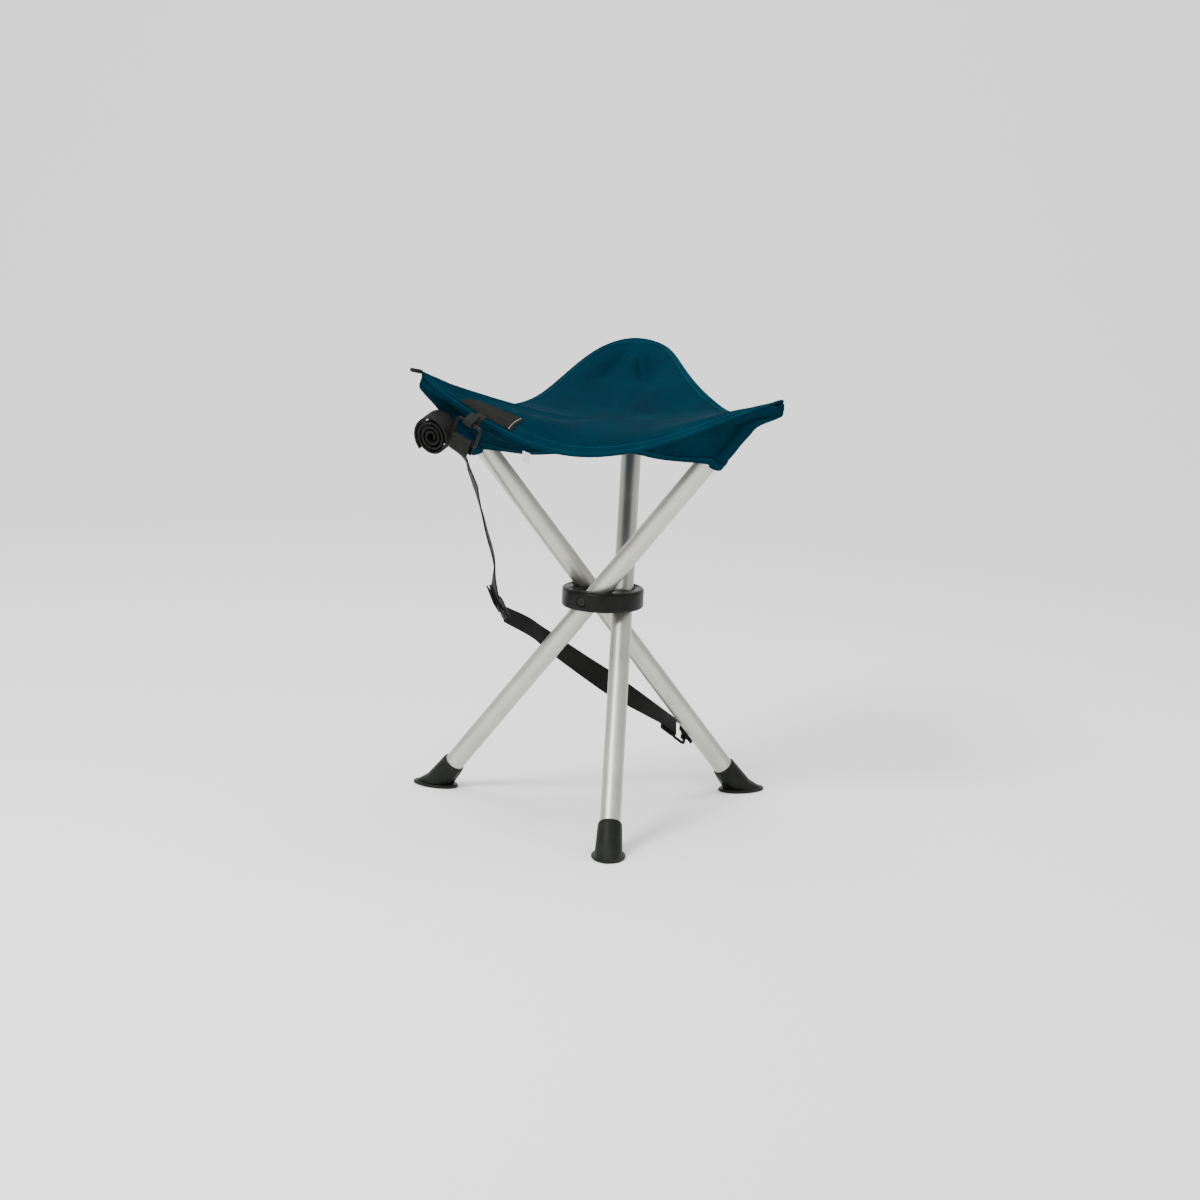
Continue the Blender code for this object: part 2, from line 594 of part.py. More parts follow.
def build_straps():
    """The carry strap in two runs, the corner ring that holds its top, and the curled closure strap."""
    long, down = unit(RING_WAY), across(RING_DOWN, unit(RING_WAY))
    centre = moved(RING_AT)
    place = frame_of(centre, long, np.cross(long, down))
    wire_loop("corner_ring", rounded_loop(RING_LONG, 0.0180, 0.0035), BAR_R, "plastic", place)
    tape = hook(centre - down * 0.0090, (0.0, -0.80, -0.60), long, 1, 0.0165, 0.010)
    strip("ring_tape", tape, [long] * len(tape), 0.012, WEB_THICK, "webbing")

    slider, bar, way = build_slider()
    top = hook(centre + down * 0.0090, -down, long, 1, 0.011, 0.010)
    base = hook(slider, way, bar, 1, 0.014, 0.015)
    middle = smooth([top[0], moved((-0.1292, -0.0985, 0.3560)), moved((-0.1229, -0.0720, 0.3253)),
                     moved((-0.1137, -0.0450, 0.2835)), moved((-0.1071, -0.0240, 0.2514)), base[0]], 6)
    path = list(reversed(top))[:-1] + list(middle) + base[1:]
    turned = unit((0.05, -1.0, 0.0))
    keys = ((0.0, long), (0.14, turned), (0.30, unit((0.29, -1.0, 0.0))), (0.55, turned), (0.86, turned), (1.0, bar))
    twist = turning(keys, len(middle))
    wide = [long] * (len(top) - 1) + twist + [bar] * (len(base) - 1)
    strip("strap_upper", path, wide, WEB_WIDE, WEB_THICK, "webbing")

    held, free, direction = anchor_points()
    away = unit(free - held)
    head = hook(slider + way * 0.0095, -way, bar, 1, 0.009, 0.008)
    foot = hook(free, -away, -direction, 1, 0.012, 0.014)
    run = smooth([head[0], moved((-0.0722, 0.0240, 0.1773)), moved((-0.0541, 0.0340, 0.1623)),
                  moved((-0.0166, 0.0500, 0.1338)), moved((0.0192, 0.0620, 0.1090)), foot[0]], 6)
    path = list(reversed(head))[:-1] + list(run) + foot[1:]
    twist = []
    for t in np.linspace(0, 1, len(run)):
        lean = unit((0.1, -0.45, -0.88))
        twist.append(unit(bar * (1 - t / 0.75) + lean * t / 0.75) if t < 0.75
                     else unit(lean * (1 - t) / 0.25 - direction * (t - 0.75) / 0.25))
    wide = [bar] * (len(head) - 1) + twist + [-direction] * (len(foot) - 1)
    strip("strap_lower", path, wide, WEB_WIDE, WEB_THICK, "webbing")

    wide = unit((0.40, 0.88, 0.26))
    rise = across((0.0, 0.0, 1.0), wide)
    sideways = np.cross(rise, wide)
    coil = []
    for angle in np.linspace(math.radians(-40), math.radians(1300), 110):
        radius = 0.0185 - 0.0155 * (angle + math.radians(40)) / math.radians(1340)
        coil.append(moved((-0.1620, -0.0870, 0.3845))
                    + radius * (math.cos(angle) * sideways + 1.12 * math.sin(angle) * rise))
    strip("closure_strap", coil, [wide] * len(coil), 0.021, WEB_THICK, "webbing")


build_hub()
for leg_name in LEGS:
    build_pin(leg_name)
    build_leg(leg_name)
build_seat()
for leg_name in LEGS:
    build_pocket(leg_name)
build_seat_trim()
build_anchor()
build_straps()
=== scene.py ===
"""Looks for the three leg stool: materials, cloth seat, webbing, floor, light and camera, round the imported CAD."""

import math

import bmesh
import bpy
import numpy as np
from mathutils import Matrix, Vector


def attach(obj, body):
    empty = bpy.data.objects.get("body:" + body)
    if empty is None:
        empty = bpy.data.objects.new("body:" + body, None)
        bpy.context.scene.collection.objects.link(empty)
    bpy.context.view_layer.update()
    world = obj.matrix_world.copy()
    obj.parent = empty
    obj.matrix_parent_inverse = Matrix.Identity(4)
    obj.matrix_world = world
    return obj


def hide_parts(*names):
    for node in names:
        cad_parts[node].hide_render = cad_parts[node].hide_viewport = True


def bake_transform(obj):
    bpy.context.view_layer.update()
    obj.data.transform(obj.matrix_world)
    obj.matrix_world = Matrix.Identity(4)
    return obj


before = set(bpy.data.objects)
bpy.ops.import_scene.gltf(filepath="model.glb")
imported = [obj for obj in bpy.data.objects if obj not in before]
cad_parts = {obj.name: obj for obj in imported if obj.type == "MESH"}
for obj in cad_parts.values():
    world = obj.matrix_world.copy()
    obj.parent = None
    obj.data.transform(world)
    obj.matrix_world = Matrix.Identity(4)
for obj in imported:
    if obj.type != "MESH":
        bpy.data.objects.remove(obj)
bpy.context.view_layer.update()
scene = bpy.context.scene

# ---------------------------------------------------------------- dimensions, as in the CAD
AXIS = np.array((0.010752, 0.0021004, 0.0))
LEAN = math.radians(50.26)
PIVOT_OFFSET = 0.0199
PIVOT_Z = 0.2163
TUBE_R = 0.010
TOP_REACH = 0.155
BASE_GAP = 0.0143
LEGS = {"a": 210.0, "b": -30.0, "c": 90.0}
FOOT_S = PIVOT_Z / math.sin(LEAN)
TOP_S = TOP_REACH / math.cos(LEAN)
WEB_WIDE = 0.025
WEB_THICK = 0.0015
CLOTH_THICK = 0.0009
STITCH_PITCH = 0.0030


def unit(v):
    """The vector at length one."""
    v = np.array(v, float)
    return v / np.linalg.norm(v)


def directions(leg):
    """The way the leg's top leans out from the hub, and the way its pivot pin points."""
    angle = math.radians(LEGS[leg])
    return np.array((math.cos(angle), math.sin(angle), 0.0)), np.array((math.sin(angle), -math.cos(angle), 0.0))


def frame_of(origin, x_axis, z_axis):
    """A placing matrix whose Z runs along z_axis and whose X is as near to x_axis as it can be."""
    z = Vector(z_axis).normalized()
    y = z.cross(Vector(x_axis)).normalized()
    rows = Matrix((y.cross(z), y, z)).transposed().to_4x4()
    rows.translation = Vector(origin)
    return rows


def pivot(leg):
    return AXIS + (0, 0, PIVOT_Z) + directions(leg)[1] * PIVOT_OFFSET


def leg_frame(leg):
    """Placing of a leg: its origin on the pivot pin and its Z up along the tube."""
    out, pin = directions(leg)
    along = out * math.cos(LEAN) + np.array((0, 0, math.sin(LEAN)))
    return frame_of(pivot(leg), np.cross(pin, along), along)


# ---------------------------------------------------------------- materials
def make_material(name, build):
    made = bpy.data.materials.new(name)
    made.use_nodes = True
    build(made.node_tree, made.node_tree.nodes["Principled BSDF"])
    return made


def node(tree, kind, links=(), **values):
    """Adds a node. values go to its inputs by name, or to its own settings when they start with set_."""
    made = tree.nodes.new(kind)
    for key, value in values.items():
        if key.startswith("set_"):
            setattr(made, key[4:], value)
        else:
            made.inputs[key.replace("_", " ")].default_value = value
    for socket, source in links:
        tree.links.new(source, made.inputs[socket])
    return made


def ramp(tree, source, stops):
    """Colours blended along a 0 to 1 value, from (position, colour) stops."""
    made = tree.nodes.new("ShaderNodeValToRGB")
    tree.links.new(source, made.inputs["Fac"])
    while len(made.color_ramp.elements) < len(stops):
        made.color_ramp.elements.new(0.5)
    for element, (position, colour) in zip(made.color_ramp.elements, stops):
        element.position = position
        element.color = (*colour, 1.0)
    return made.outputs["Color"]


def spread(tree, source, low, high):
    """A 0 to 1 value mapped onto low to high."""
    made = node(tree, "ShaderNodeMapRange", [("Value", source)], To_Min=low, To_Max=high)
    return made.outputs["Result"]


def math_node(tree, operation, first, second):
    made = tree.nodes.new("ShaderNodeMath")
    made.operation = operation
    for index, value in enumerate((first, second)):
        if isinstance(value, (int, float)):
            made.inputs[index].default_value = value
        else:
            tree.links.new(value, made.inputs[index])
    return made.outputs[0]


def tube_look(leg):
    """Satin anodised tube: fine draw lines along its length and faint cloudy handling marks."""
    turn = leg_frame(leg).to_3x3().inverted().to_euler()

    def build(tree, shader):
        place = node(tree, "ShaderNodeTexCoord")
        local = node(tree, "ShaderNodeMapping", [("Vector", place.outputs["Object"])], Rotation=turn)
        thin = node(tree, "ShaderNodeMapping", [("Vector", local.outputs["Vector"])], Scale=(1500, 1500, 9))
        lines = node(tree, "ShaderNodeTexNoise", [("Vector", thin.outputs["Vector"])], Scale=1.0, Detail=3.0)
        cloud = node(tree, "ShaderNodeTexNoise", [("Vector", local.outputs["Vector"])], Scale=38.0, Detail=4.0)
        marks = math_node(tree, "ADD", math_node(tree, "MULTIPLY", lines.outputs["Fac"], 0.35),
                          math_node(tree, "MULTIPLY", cloud.outputs["Fac"], 0.65))
        tree.links.new(ramp(tree, marks, [(0.3, (0.44, 0.44, 0.40)), (0.7, (0.55, 0.55, 0.50))]),
                       shader.inputs["Base Color"])
        tree.links.new(spread(tree, marks, 0.34, 0.50), shader.inputs["Roughness"])
        bump = node(tree, "ShaderNodeBump", [("Height", lines.outputs["Fac"])], Strength=0.10, Distance=0.00015)
        tree.links.new(bump.outputs["Normal"], shader.inputs["Normal"])
        shader.inputs["Metallic"].default_value = 0.85
        shader.inputs["Specular IOR Level"].default_value = 0.6

    return make_material(f"anodised_tube_{leg}", build)


def moulded(name, dark, light, rough, grain, depth):
    """Moulded plastic or rubber: uneven black with a fine pebble grain and soft handling sheen."""
    def build(tree, shader):
        place = node(tree, "ShaderNodeTexCoord")
        fine = node(tree, "ShaderNodeTexNoise", [("Vector", place.outputs["Object"])], Scale=grain, Detail=2.0)
        broad = node(tree, "ShaderNodeTexNoise", [("Vector", place.outputs["Object"])], Scale=55.0, Detail=5.0)
        tree.links.new(ramp(tree, broad.outputs["Fac"], [(0.35, dark), (0.70, light)]), shader.inputs["Base Color"])
        tree.links.new(spread(tree, broad.outputs["Fac"], rough - 0.08, rough + 0.10), shader.inputs["Roughness"])
        bump = node(tree, "ShaderNodeBump", [("Height", fine.outputs["Fac"])], Strength=0.25, Distance=depth)
        tree.links.new(bump.outputs["Normal"], shader.inputs["Normal"])
        shader.inputs["Specular IOR Level"].default_value = 0.12

    return make_material(name, build)


def woven(name, dark, mid, light, pitch, strength, sheen):
    """Plain weave cloth over UVs in metres: crossing yarns, slubs, and slow shade changes."""
    def build(tree, shader):
        place = node(tree, "ShaderNodeTexCoord")
        split = node(tree, "ShaderNodeSeparateXYZ", [("Vector", place.outputs["UV"])])
        turns = 2 * math.pi / pitch
        u = math_node(tree, "SINE", math_node(tree, "MULTIPLY", split.outputs["X"], turns), 0)
        v = math_node(tree, "SINE", math_node(tree, "MULTIPLY", split.outputs["Y"], turns), 0)
        weave = math_node(tree, "ADD", math_node(tree, "MULTIPLY", math_node(tree, "MULTIPLY", u, v), 0.5), 0.5)
        slub = node(tree, "ShaderNodeTexNoise", [("Vector", place.outputs["UV"])], Scale=900.0, Detail=3.0)
        broad = node(tree, "ShaderNodeTexNoise", [("Vector", place.outputs["Object"])], Scale=16.0, Detail=5.0,
                     Roughness=0.6)
        height = math_node(tree, "ADD", weave, math_node(tree, "MULTIPLY", slub.outputs["Fac"], 0.7))
        shade = math_node(tree, "ADD", math_node(tree, "MULTIPLY", weave, 0.20),
                          math_node(tree, "ADD", math_node(tree, "MULTIPLY", slub.outputs["Fac"], 0.25),
                                    math_node(tree, "MULTIPLY", broad.outputs["Fac"], 0.55)))
        tree.links.new(ramp(tree, shade, [(0.28, dark), (0.50, mid), (0.72, light)]), shader.inputs["Base Color"])
        tree.links.new(spread(tree, slub.outputs["Fac"], 0.76, 0.94), shader.inputs["Roughness"])
        bump = node(tree, "ShaderNodeBump", [("Height", height)], Strength=strength, Distance=pitch * 0.22)
        tree.links.new(bump.outputs["Normal"], shader.inputs["Normal"])
        shader.inputs["Sheen Weight"].default_value = sheen
        shader.inputs["Sheen Roughness"].default_value = 0.35
        shader.inputs["Specular IOR Level"].default_value = 0.03

    return make_material(name, build)


def webbing_look():
    """Black webbing over UVs in metres: ribs across and a twill chevron along."""
    def build(tree, shader):
        place = node(tree, "ShaderNodeTexCoord")
        split = node(tree, "ShaderNodeSeparateXYZ", [("Vector", place.outputs["UV"])])
        x, y = split.outputs["X"], split.outputs["Y"]
        fold = math_node(tree, "ABSOLUTE", math_node(tree, "SINE", math_node(tree, "MULTIPLY", x, 550.0), 0), 0)
        slant = math_node(tree, "ADD", math_node(tree, "MULTIPLY", y, 3600.0), math_node(tree, "MULTIPLY", fold, 2.2))
        rib = math_node(tree, "ADD", math_node(tree, "MULTIPLY", math_node(tree, "SINE", slant, 0), 0.5), 0.5)
        row = math_node(tree, "ADD", math_node(tree, "MULTIPLY", math_node(
            tree, "SINE", math_node(tree, "MULTIPLY", x, 4200.0), 0), 0.5), 0.5)
        fuzz = node(tree, "ShaderNodeTexNoise", [("Vector", place.outputs["UV"])], Scale=700.0, Detail=3.0)
        height = math_node(tree, "ADD", math_node(tree, "MULTIPLY", rib, 0.6), math_node(tree, "MULTIPLY", row, 0.4))
        shade = math_node(tree, "ADD", math_node(tree, "MULTIPLY", height, 0.5),
                          math_node(tree, "MULTIPLY", fuzz.outputs["Fac"], 0.5))
        tree.links.new(ramp(tree, shade, [(0.25, (0.0020, 0.0022, 0.0020)), (0.75, (0.0110, 0.0118, 0.0105))]),
                       shader.inputs["Base Color"])
        tree.links.new(spread(tree, fuzz.outputs["Fac"], 0.55, 0.80), shader.inputs["Roughness"])
        bump = node(tree, "ShaderNodeBump", [("Height", height)], Strength=0.55, Distance=0.0004)
        tree.links.new(bump.outputs["Normal"], shader.inputs["Normal"])
        shader.inputs["Sheen Weight"].default_value = 0.02
        shader.inputs["Specular IOR Level"].default_value = 0.12

    return make_material("black_webbing_look", build)


TUBES = {leg: tube_look(leg) for leg in LEGS}
PLASTIC = moulded("hub_plastic_look", (0.0035, 0.0040, 0.0035), (0.0090, 0.0100, 0.0085), 0.36, 1900.0, 0.00012)
RING_PLASTIC = moulded("ring_plastic_look", (0.0035, 0.0035, 0.0035), (0.0100, 0.0100, 0.0100), 0.34, 1500.0,
                       0.00008)
RUBBER = moulded("foot_rubber_look", (0.0050, 0.0060, 0.0050), (0.0130, 0.0145, 0.0120), 0.44, 1300.0, 0.00015)
STEEL = moulded("blackened_steel_look", (0.010, 0.010, 0.010), (0.030, 0.030, 0.029), 0.36, 2500.0, 0.00006)
CLOTH = woven("seat_cloth_look", (0.0003, 0.010, 0.018), (0.0004, 0.0165, 0.0285), (0.0007, 0.025, 0.041),
              0.0011, 0.35, 0.0)
HEM = woven("seat_hem_look", (0.0003, 0.011, 0.020), (0.0005, 0.0185, 0.0315), (0.0008, 0.028, 0.046),
            0.0011, 0.35, 0.0)
LABEL = woven("label_cloth_look", (0.009, 0.0095, 0.0085), (0.015, 0.0155, 0.014), (0.023, 0.0235, 0.021),
              0.0007, 0.30, 0.02)
TAG = woven("tag_cloth_look", (0.50, 0.51, 0.52), (0.60, 0.61, 0.62), (0.68, 0.69, 0.70),
            0.0005, 0.20, 0.10)
THREAD = woven("thread_look", (0.004, 0.042, 0.062), (0.007, 0.062, 0.090), (0.012, 0.085, 0.12),
               0.0006, 0.30, 0.15)
PALE_THREAD = woven("pale_thread_look", (0.42, 0.42, 0.40), (0.55, 0.55, 0.53), (0.66, 0.66, 0.64),
                    0.0006, 0.3, 0.2)
WEBBING = webbing_look()


# ---------------------------------------------------------------- mesh helpers
def add(name, points, faces, look, uvs=None, smooth=True):
    mesh = bpy.data.meshes.new(name)
    mesh.from_pydata([tuple(p) for p in points], [], faces)
    mesh.polygons.foreach_set("use_smooth", [smooth] * len(mesh.polygons))
    if uvs is not None:
        layer = mesh.uv_layers.new(name="cut")
        corner = np.empty(len(mesh.loops), np.int32)
        mesh.loops.foreach_get("vertex_index", corner)
        layer.data.foreach_set("uv", np.asarray(uvs, np.float32)[corner].ravel())
    work = bmesh.new()
    work.from_mesh(mesh)
    bmesh.ops.recalc_face_normals(work, faces=work.faces)
    work.to_mesh(mesh)
    work.free()
    mesh.update()
    mesh.set_sharp_from_angle(angle=math.radians(42))
    made = bpy.data.objects.new(name, mesh)
    scene.collection.objects.link(made)
    made.data.materials.append(look)
    return made


def grid_normals(grid):
    along = np.gradient(grid, axis=0)
    across = np.gradient(grid, axis=1)
    normal = np.cross(along, across)
    return normal / np.maximum(np.linalg.norm(normal, axis=2, keepdims=True), 1e-12)


def sheet_grid(name, grid, uv, thick, look, normal=None):
    """A closed thin sheet about a grid of points, with UVs in metres."""
    grid = np.asarray(grid, float)
    rows, columns = grid.shape[:2]
    normal = grid_normals(grid) if normal is None else normal
    points = np.concatenate([grid + normal * thick / 2, grid - normal * thick / 2]).reshape(-1, 3)
    uvs = np.concatenate([np.asarray(uv).reshape(-1, 2)] * 2)
    back = rows * columns
    faces = []
    for r in range(rows - 1):
        for c in range(columns - 1):
            k = r * columns + c
            quad = (k, k + 1, k + columns + 1, k + columns)
            faces.append(quad)
            faces.append(tuple(back + q for q in reversed(quad)))
    border = [(0, c) for c in range(columns - 1)] + [(r, columns - 1) for r in range(rows - 1)]
    border += [(rows - 1, c) for c in range(columns - 1, 0, -1)] + [(r, 0) for r in range(rows - 1, 0, -1)]
    loop = [r * columns + c for r, c in border]
    for k, first in enumerate(loop):
        second = loop[(k + 1) % len(loop)]
        faces.append((first, second, back + second, back + first))
    return add(name, points, faces, look, uvs)


def tube_faces(rows, sides, closed=False):
    """Quads that join rows of points into a tube, with end caps unless its last row meets its first."""
    faces = []
    for row in range(rows if closed else rows - 1):
        base, upper = row * sides, (row + 1) % rows * sides
        for k in range(sides):
            after = (k + 1) % sides
            faces.append((base + k, base + after, upper + after, upper + k))
    if not closed:
        faces += [tuple(range(sides)), tuple((rows - 1) * sides + k for k in range(sides))]
    return faces


def lathe(name, profile, look, place, segments=64, closed=False):
    """A profile of (radius, height) points turned round the Z of place."""
    points = []
    for radius, height in profile:
        for k in range(segments):
            angle = 2 * math.pi * k / segments
            points.append(place @ Vector((radius * math.cos(angle), radius * math.sin(angle), height)))
    return add(name, points, tube_faces(len(profile), segments, closed), look)


def smooth_path(path, steps):
    """A Catmull-Rom curve through the points, with that many steps between each two."""
    path = [np.array(p, float) for p in path]
    ends = [2 * path[0] - path[1]] + path + [2 * path[-1] - path[-2]]
    curve = []
    for k in range(1, len(ends) - 2):
        p0, p1, p2, p3 = ends[k - 1 : k + 3]
        for t in np.linspace(0.0, 1.0, steps, endpoint=False):
            curve.append(0.5 * (2 * p1 + (p2 - p0) * t + (2 * p0 - 5 * p1 + 4 * p2 - p3) * t**2
                                + (3 * p1 - p0 - 3 * p2 + p3) * t**3))
    return np.array(curve + [path[-1]])


def webbing(name, path, sides, wide, thick=WEB_THICK, look=WEBBING):
    """Webbing swept along a path, and its length: a flat section with rounded selvedges, wide along sides."""
    path = np.array(path, float)
    tangent = np.gradient(path, axis=0)
    tangent /= np.linalg.norm(tangent, axis=1, keepdims=True)
    side = np.array(sides, float)
    side -= tangent * np.sum(side * tangent, axis=1, keepdims=True)
    side /= np.linalg.norm(side, axis=1, keepdims=True)
    normal = np.cross(tangent, side)
    half, lip = wide / 2, thick / 2
    section = [(-half + lip * 0.3, -lip), (-half * 0.5, -lip), (0, -lip), (half * 0.5, -lip),
               (half - lip * 0.3, -lip), (half, 0), (half - lip * 0.3, lip), (half * 0.5, lip), (0, lip),
               (-half * 0.5, lip), (-half + lip * 0.3, lip), (-half, 0)]
    length = np.concatenate([[0], np.cumsum(np.linalg.norm(np.diff(path, axis=0), axis=1))])
    points, uvs = [], []
    for centre, s, n, v in zip(path, side, normal, length):
        for x, y in section:
            points.append(centre + s * x + n * y)
            uvs.append((x, v))
    return add(name, points, tube_faces(len(path), len(section)), look, uvs), length[-1]


def wire_loop(name, path, radius, look, place, sides=20):
    """A round wire along a flat closed path."""
    path = np.array([place @ Vector(p) for p in path], float)
    tangent = np.roll(path, -1, axis=0) - np.roll(path, 1, axis=0)
    tangent /= np.linalg.norm(tangent, axis=1, keepdims=True)
    flat = unit(np.cross(path[0] - path[len(path) // 3], path[0] - path[len(path) // 2]))
    points = []
    for centre, t in zip(path, tangent):
        out = unit(np.cross(t, flat))
        for k in range(sides):
            angle = 2 * math.pi * k / sides
            points.append(centre + radius * (math.cos(angle) * out + math.sin(angle) * flat))
    return add(name, points, tube_faces(len(path), sides, closed=True), look)


def rounded_loop(long, wide, corner, steps=8):
    """The outline of a rectangle with rounded corners."""
    outline = []
    for cx, cy, start in ((1, 1, 0.0), (-1, 1, 0.5), (-1, -1, 1.0), (1, -1, 1.5)):
        for k in range(steps + 1):
            angle = math.pi * (start + 0.5 * k / steps)
            outline.append((cx * (long / 2 - corner) + corner * math.cos(angle),
                            cy * (wide / 2 - corner) + corner * math.sin(angle), 0.0))
    return outline


# ---------------------------------------------------------------- the seat's surface
CORNER_TURN = -5.74
CORNERS = {"b": (0.2040, 0.4340, 9.0), "c": (0.2000, 0.4505, 2.4), "a": (0.1955, 0.4420, 14.0)}
EDGES = {("b", "c"): (0.4040, 1.35, 3.20, -0.030), ("c", "a"): (0.3975, 2.60, 1.40, 0.045),
         ("a", "b"): (0.3690, 1.05, 1.45, 0.045)}
SEAT_MIDDLE = 0.394
SEAT_DISH = 1.8
# Folds that run in from each corner: degrees off the corner's middle line, height, half width, and length.
FOLDS = {
    "a": ((-15.0, -0.0022, 0.007, 0.070), (3.0, 0.0018, 0.010, 0.060), (21.0, -0.0016, 0.007, 0.090)),
    "b": ((-17.0, -0.0018, 0.007, 0.080), (-1.0, 0.0018, 0.010, 0.060), (15.0, -0.0022, 0.007, 0.075)),
    "c": ((-19.0, -0.0105, 0.008, 0.085), (-3.0, 0.0050, 0.010, 0.060), (14.0, -0.0095, 0.007, 0.085),
          (28.0, 0.0035, 0.008, 0.070)),
}


def ease(t):
    """A smooth step from 0 to 1."""
    t = min(max(t, 0.0), 1.0)
    return t * t * (3 - 2 * t)


def edge_share(angle):
    """The edge in that direction: its corners, the angle from the first in degrees, and the share along it."""
    turn = (angle - LEGS["b"] - CORNER_TURN) % 360.0
    side = min(int(turn // 120.0), 2)
    x = turn - 120.0 * side
    t = 0.5 + math.tan(math.radians(x - 60)) / (2 * math.tan(math.radians(60)))
    return ("b", "c", "a")[side], ("c", "a", "b")[side], x, min(max(t, 0.0), 1.0)


def rim(angle):
    """Reach from the hub's axis and height of the seat's edge, in the direction of that angle in degrees."""
    first, last, x, t = edge_share(angle)
    f = x / 120.0
    reach1, high1, sharp1 = CORNERS[first]
    reach2, high2, sharp2 = CORNERS[last]
    low, hold1, hold2, scallop = EDGES[first, last]
    sharp = 11.0 + (sharp1 - 11.0) * (1 - ease(f / 0.45)) + (sharp2 - 11.0) * (1 - ease((1 - f) / 0.45))
    total = sum(max(0.0, math.cos(math.radians(x - e))) ** sharp for e in (-60, 60, 180))
    reach = 0.5 * (2 / total) ** (1 / sharp) * (reach1 + (reach2 - reach1) * ease(f))
    reach *= 1 - scallop * math.sin(math.pi * f) ** 4
    t = t**hold1 * (1 - t) + (1 - (1 - t) ** hold2) * t
    return reach, high1 + (high2 - high1) * t - ((high1 + high2) / 2 - low) * 4 * t * (1 - t)


def corner_place(leg):
    reach, height, _ = CORNERS[leg]
    angle = math.radians(LEGS[leg] + CORNER_TURN)
    return AXIS + (reach * math.cos(angle), reach * math.sin(angle), height)


CORNER_PLACES = {leg: corner_place(leg) for leg in LEGS}


def rolled(angle, inset):
    """How far the cloth stands above the line of its edge: the hem turns down, most of all along the front."""
    first, last, _, t = edge_share(angle)
    high = 0.0030
    if (first, last) == ("a", "b"):
        high = 0.0075 + 0.0085 * math.exp(-(((t - 0.27) / 0.13) ** 2))
    high *= ease(t / 0.12) * ease((1 - t) / 0.12)
    return high * (1 - math.exp(-inset / 0.010)) * math.exp(-((inset / 0.060) ** 2))


def seat_point(angle, out, lift=0.0):
    """A point of the seat's middle surface: out runs from 0 at the hub's axis to 1 at the edge."""
    reach, height = rim(angle)
    a = math.radians(angle)
    point = np.array((AXIS[0] + reach * out * math.cos(a), AXIS[1] + reach * out * math.sin(a),
                      SEAT_MIDDLE + (height - SEAT_MIDDLE) * out**SEAT_DISH + lift + rolled(angle, reach * (1 - out))))
    inside = 1 - min(max(out, 0.0), 1.0) ** 10
    for leg, folds in FOLDS.items():
        away = point[:2] - CORNER_PLACES[leg][:2]
        distance = math.hypot(*away)
        if distance > 0.2:
            continue
        way = (math.degrees(math.atan2(-away[1], -away[0])) - LEGS[leg] - CORNER_TURN + 180) % 360 - 180
        for at, high, wide, length in folds:
            if abs(way - at) < 80:
                sideways = distance * math.sin(math.radians(way - at))
                fade = math.exp(-((distance / length) ** 4)) * ease(distance / 0.030)
                point[2] += high * inside * math.exp(-((sideways / wide) ** 2)) * fade
    x, y = point[:2] - AXIS[:2]
    point[2] += 0.0011 * inside * math.sin(46 * x + 21 * y + 0.6) * math.sin(17 * x - 38 * y + 1.1)
    return point


def edge_angle(leg, other, t):
    """The direction of the point that is t of the way along the edge from leg's corner to the other."""
    x = 60 + math.degrees(math.atan((2 * t - 1) * math.tan(math.radians(60))))
    turn = (LEGS[other] - LEGS[leg]) % 360.0
    return LEGS[leg] + CORNER_TURN + (x if turn < 180 else -x)


def seat_patch(angles, rows):
    """Points, upward normals and cut positions for rows that are ("in", metres from the edge) or ("out", share)."""
    step = 0.05
    points, normals = [], []
    for kind, value in rows:
        line, lean = [], []
        for angle in angles:
            out = value if kind == "out" else 1 - value / rim(angle)[0]
            here = seat_point(angle, out)
            side = seat_point(angle + step, out) - seat_point(angle - step, out)
            away = seat_point(angle, out + 0.001) - seat_point(angle, max(out - 0.001, 0.0))
            n = np.cross(away, side)
            n = n / max(np.linalg.norm(n), 1e-12) if out > 0.001 else np.array((0.0, 0.0, 1.0))
            line.append(here)
            lean.append(n if n[2] > 0 else -n)
        points.append(line)
        normals.append(lean)
    points, normals = np.array(points), np.array(normals)
    return points, normals, (points[:, :, :2] - AXIS[:2]) * 1.03


def follow(piece):
    """Bakes the piece's placing into its own mesh."""
    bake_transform(piece)


def stitch_row(line, normal, pitch, radius, share=0.78):
    """Points and faces of a row of thread stitches that lie on a line, each a small bowed bead."""
    line, normal = np.array(line), np.array(normal)
    length = np.concatenate([[0], np.cumsum(np.linalg.norm(np.diff(line, axis=0), axis=1))])
    points, faces = [], []
    for k in range(int(length[-1] / pitch)):
        spots = (k + 0.5) * pitch + pitch * share * np.linspace(-0.5, 0.5, 5)
        centre = np.stack([np.interp(spots, length, line[:, i]) for i in range(3)], 1)
        up = np.stack([np.interp(spots, length, normal[:, i]) for i in range(3)], 1)
        centre = centre + up * radius * np.array((-0.5, 0.35, 0.6, 0.35, -0.5))[:, None]
        way = unit(centre[-1] - centre[0])
        base = len(points)
        for c, u, size in zip(centre, up, (0.45, 0.95, 1.0, 0.95, 0.45)):
            v = np.cross(way, u)
            for j in range(6):
                a = math.pi * j / 3
                points.append(c + radius * size * (math.cos(a) * v + math.sin(a) * u))
        faces += [tuple(base + k for k in tile) for tile in tube_faces(5, 6)]
    return points, faces


def stitches(name, rows, look=THREAD):
    """One piece of several stitch rows, each (line, upward normals, pitch, thread radius)."""
    points, faces = [], []
    for line, normal, pitch, radius in rows:
        more, tiles = stitch_row(line, normal, pitch, radius)
        faces += [tuple(len(points) + k for k in tile) for tile in tiles]
        points += more
    return add(name, points, faces, look, np.array(points)[:, :2])


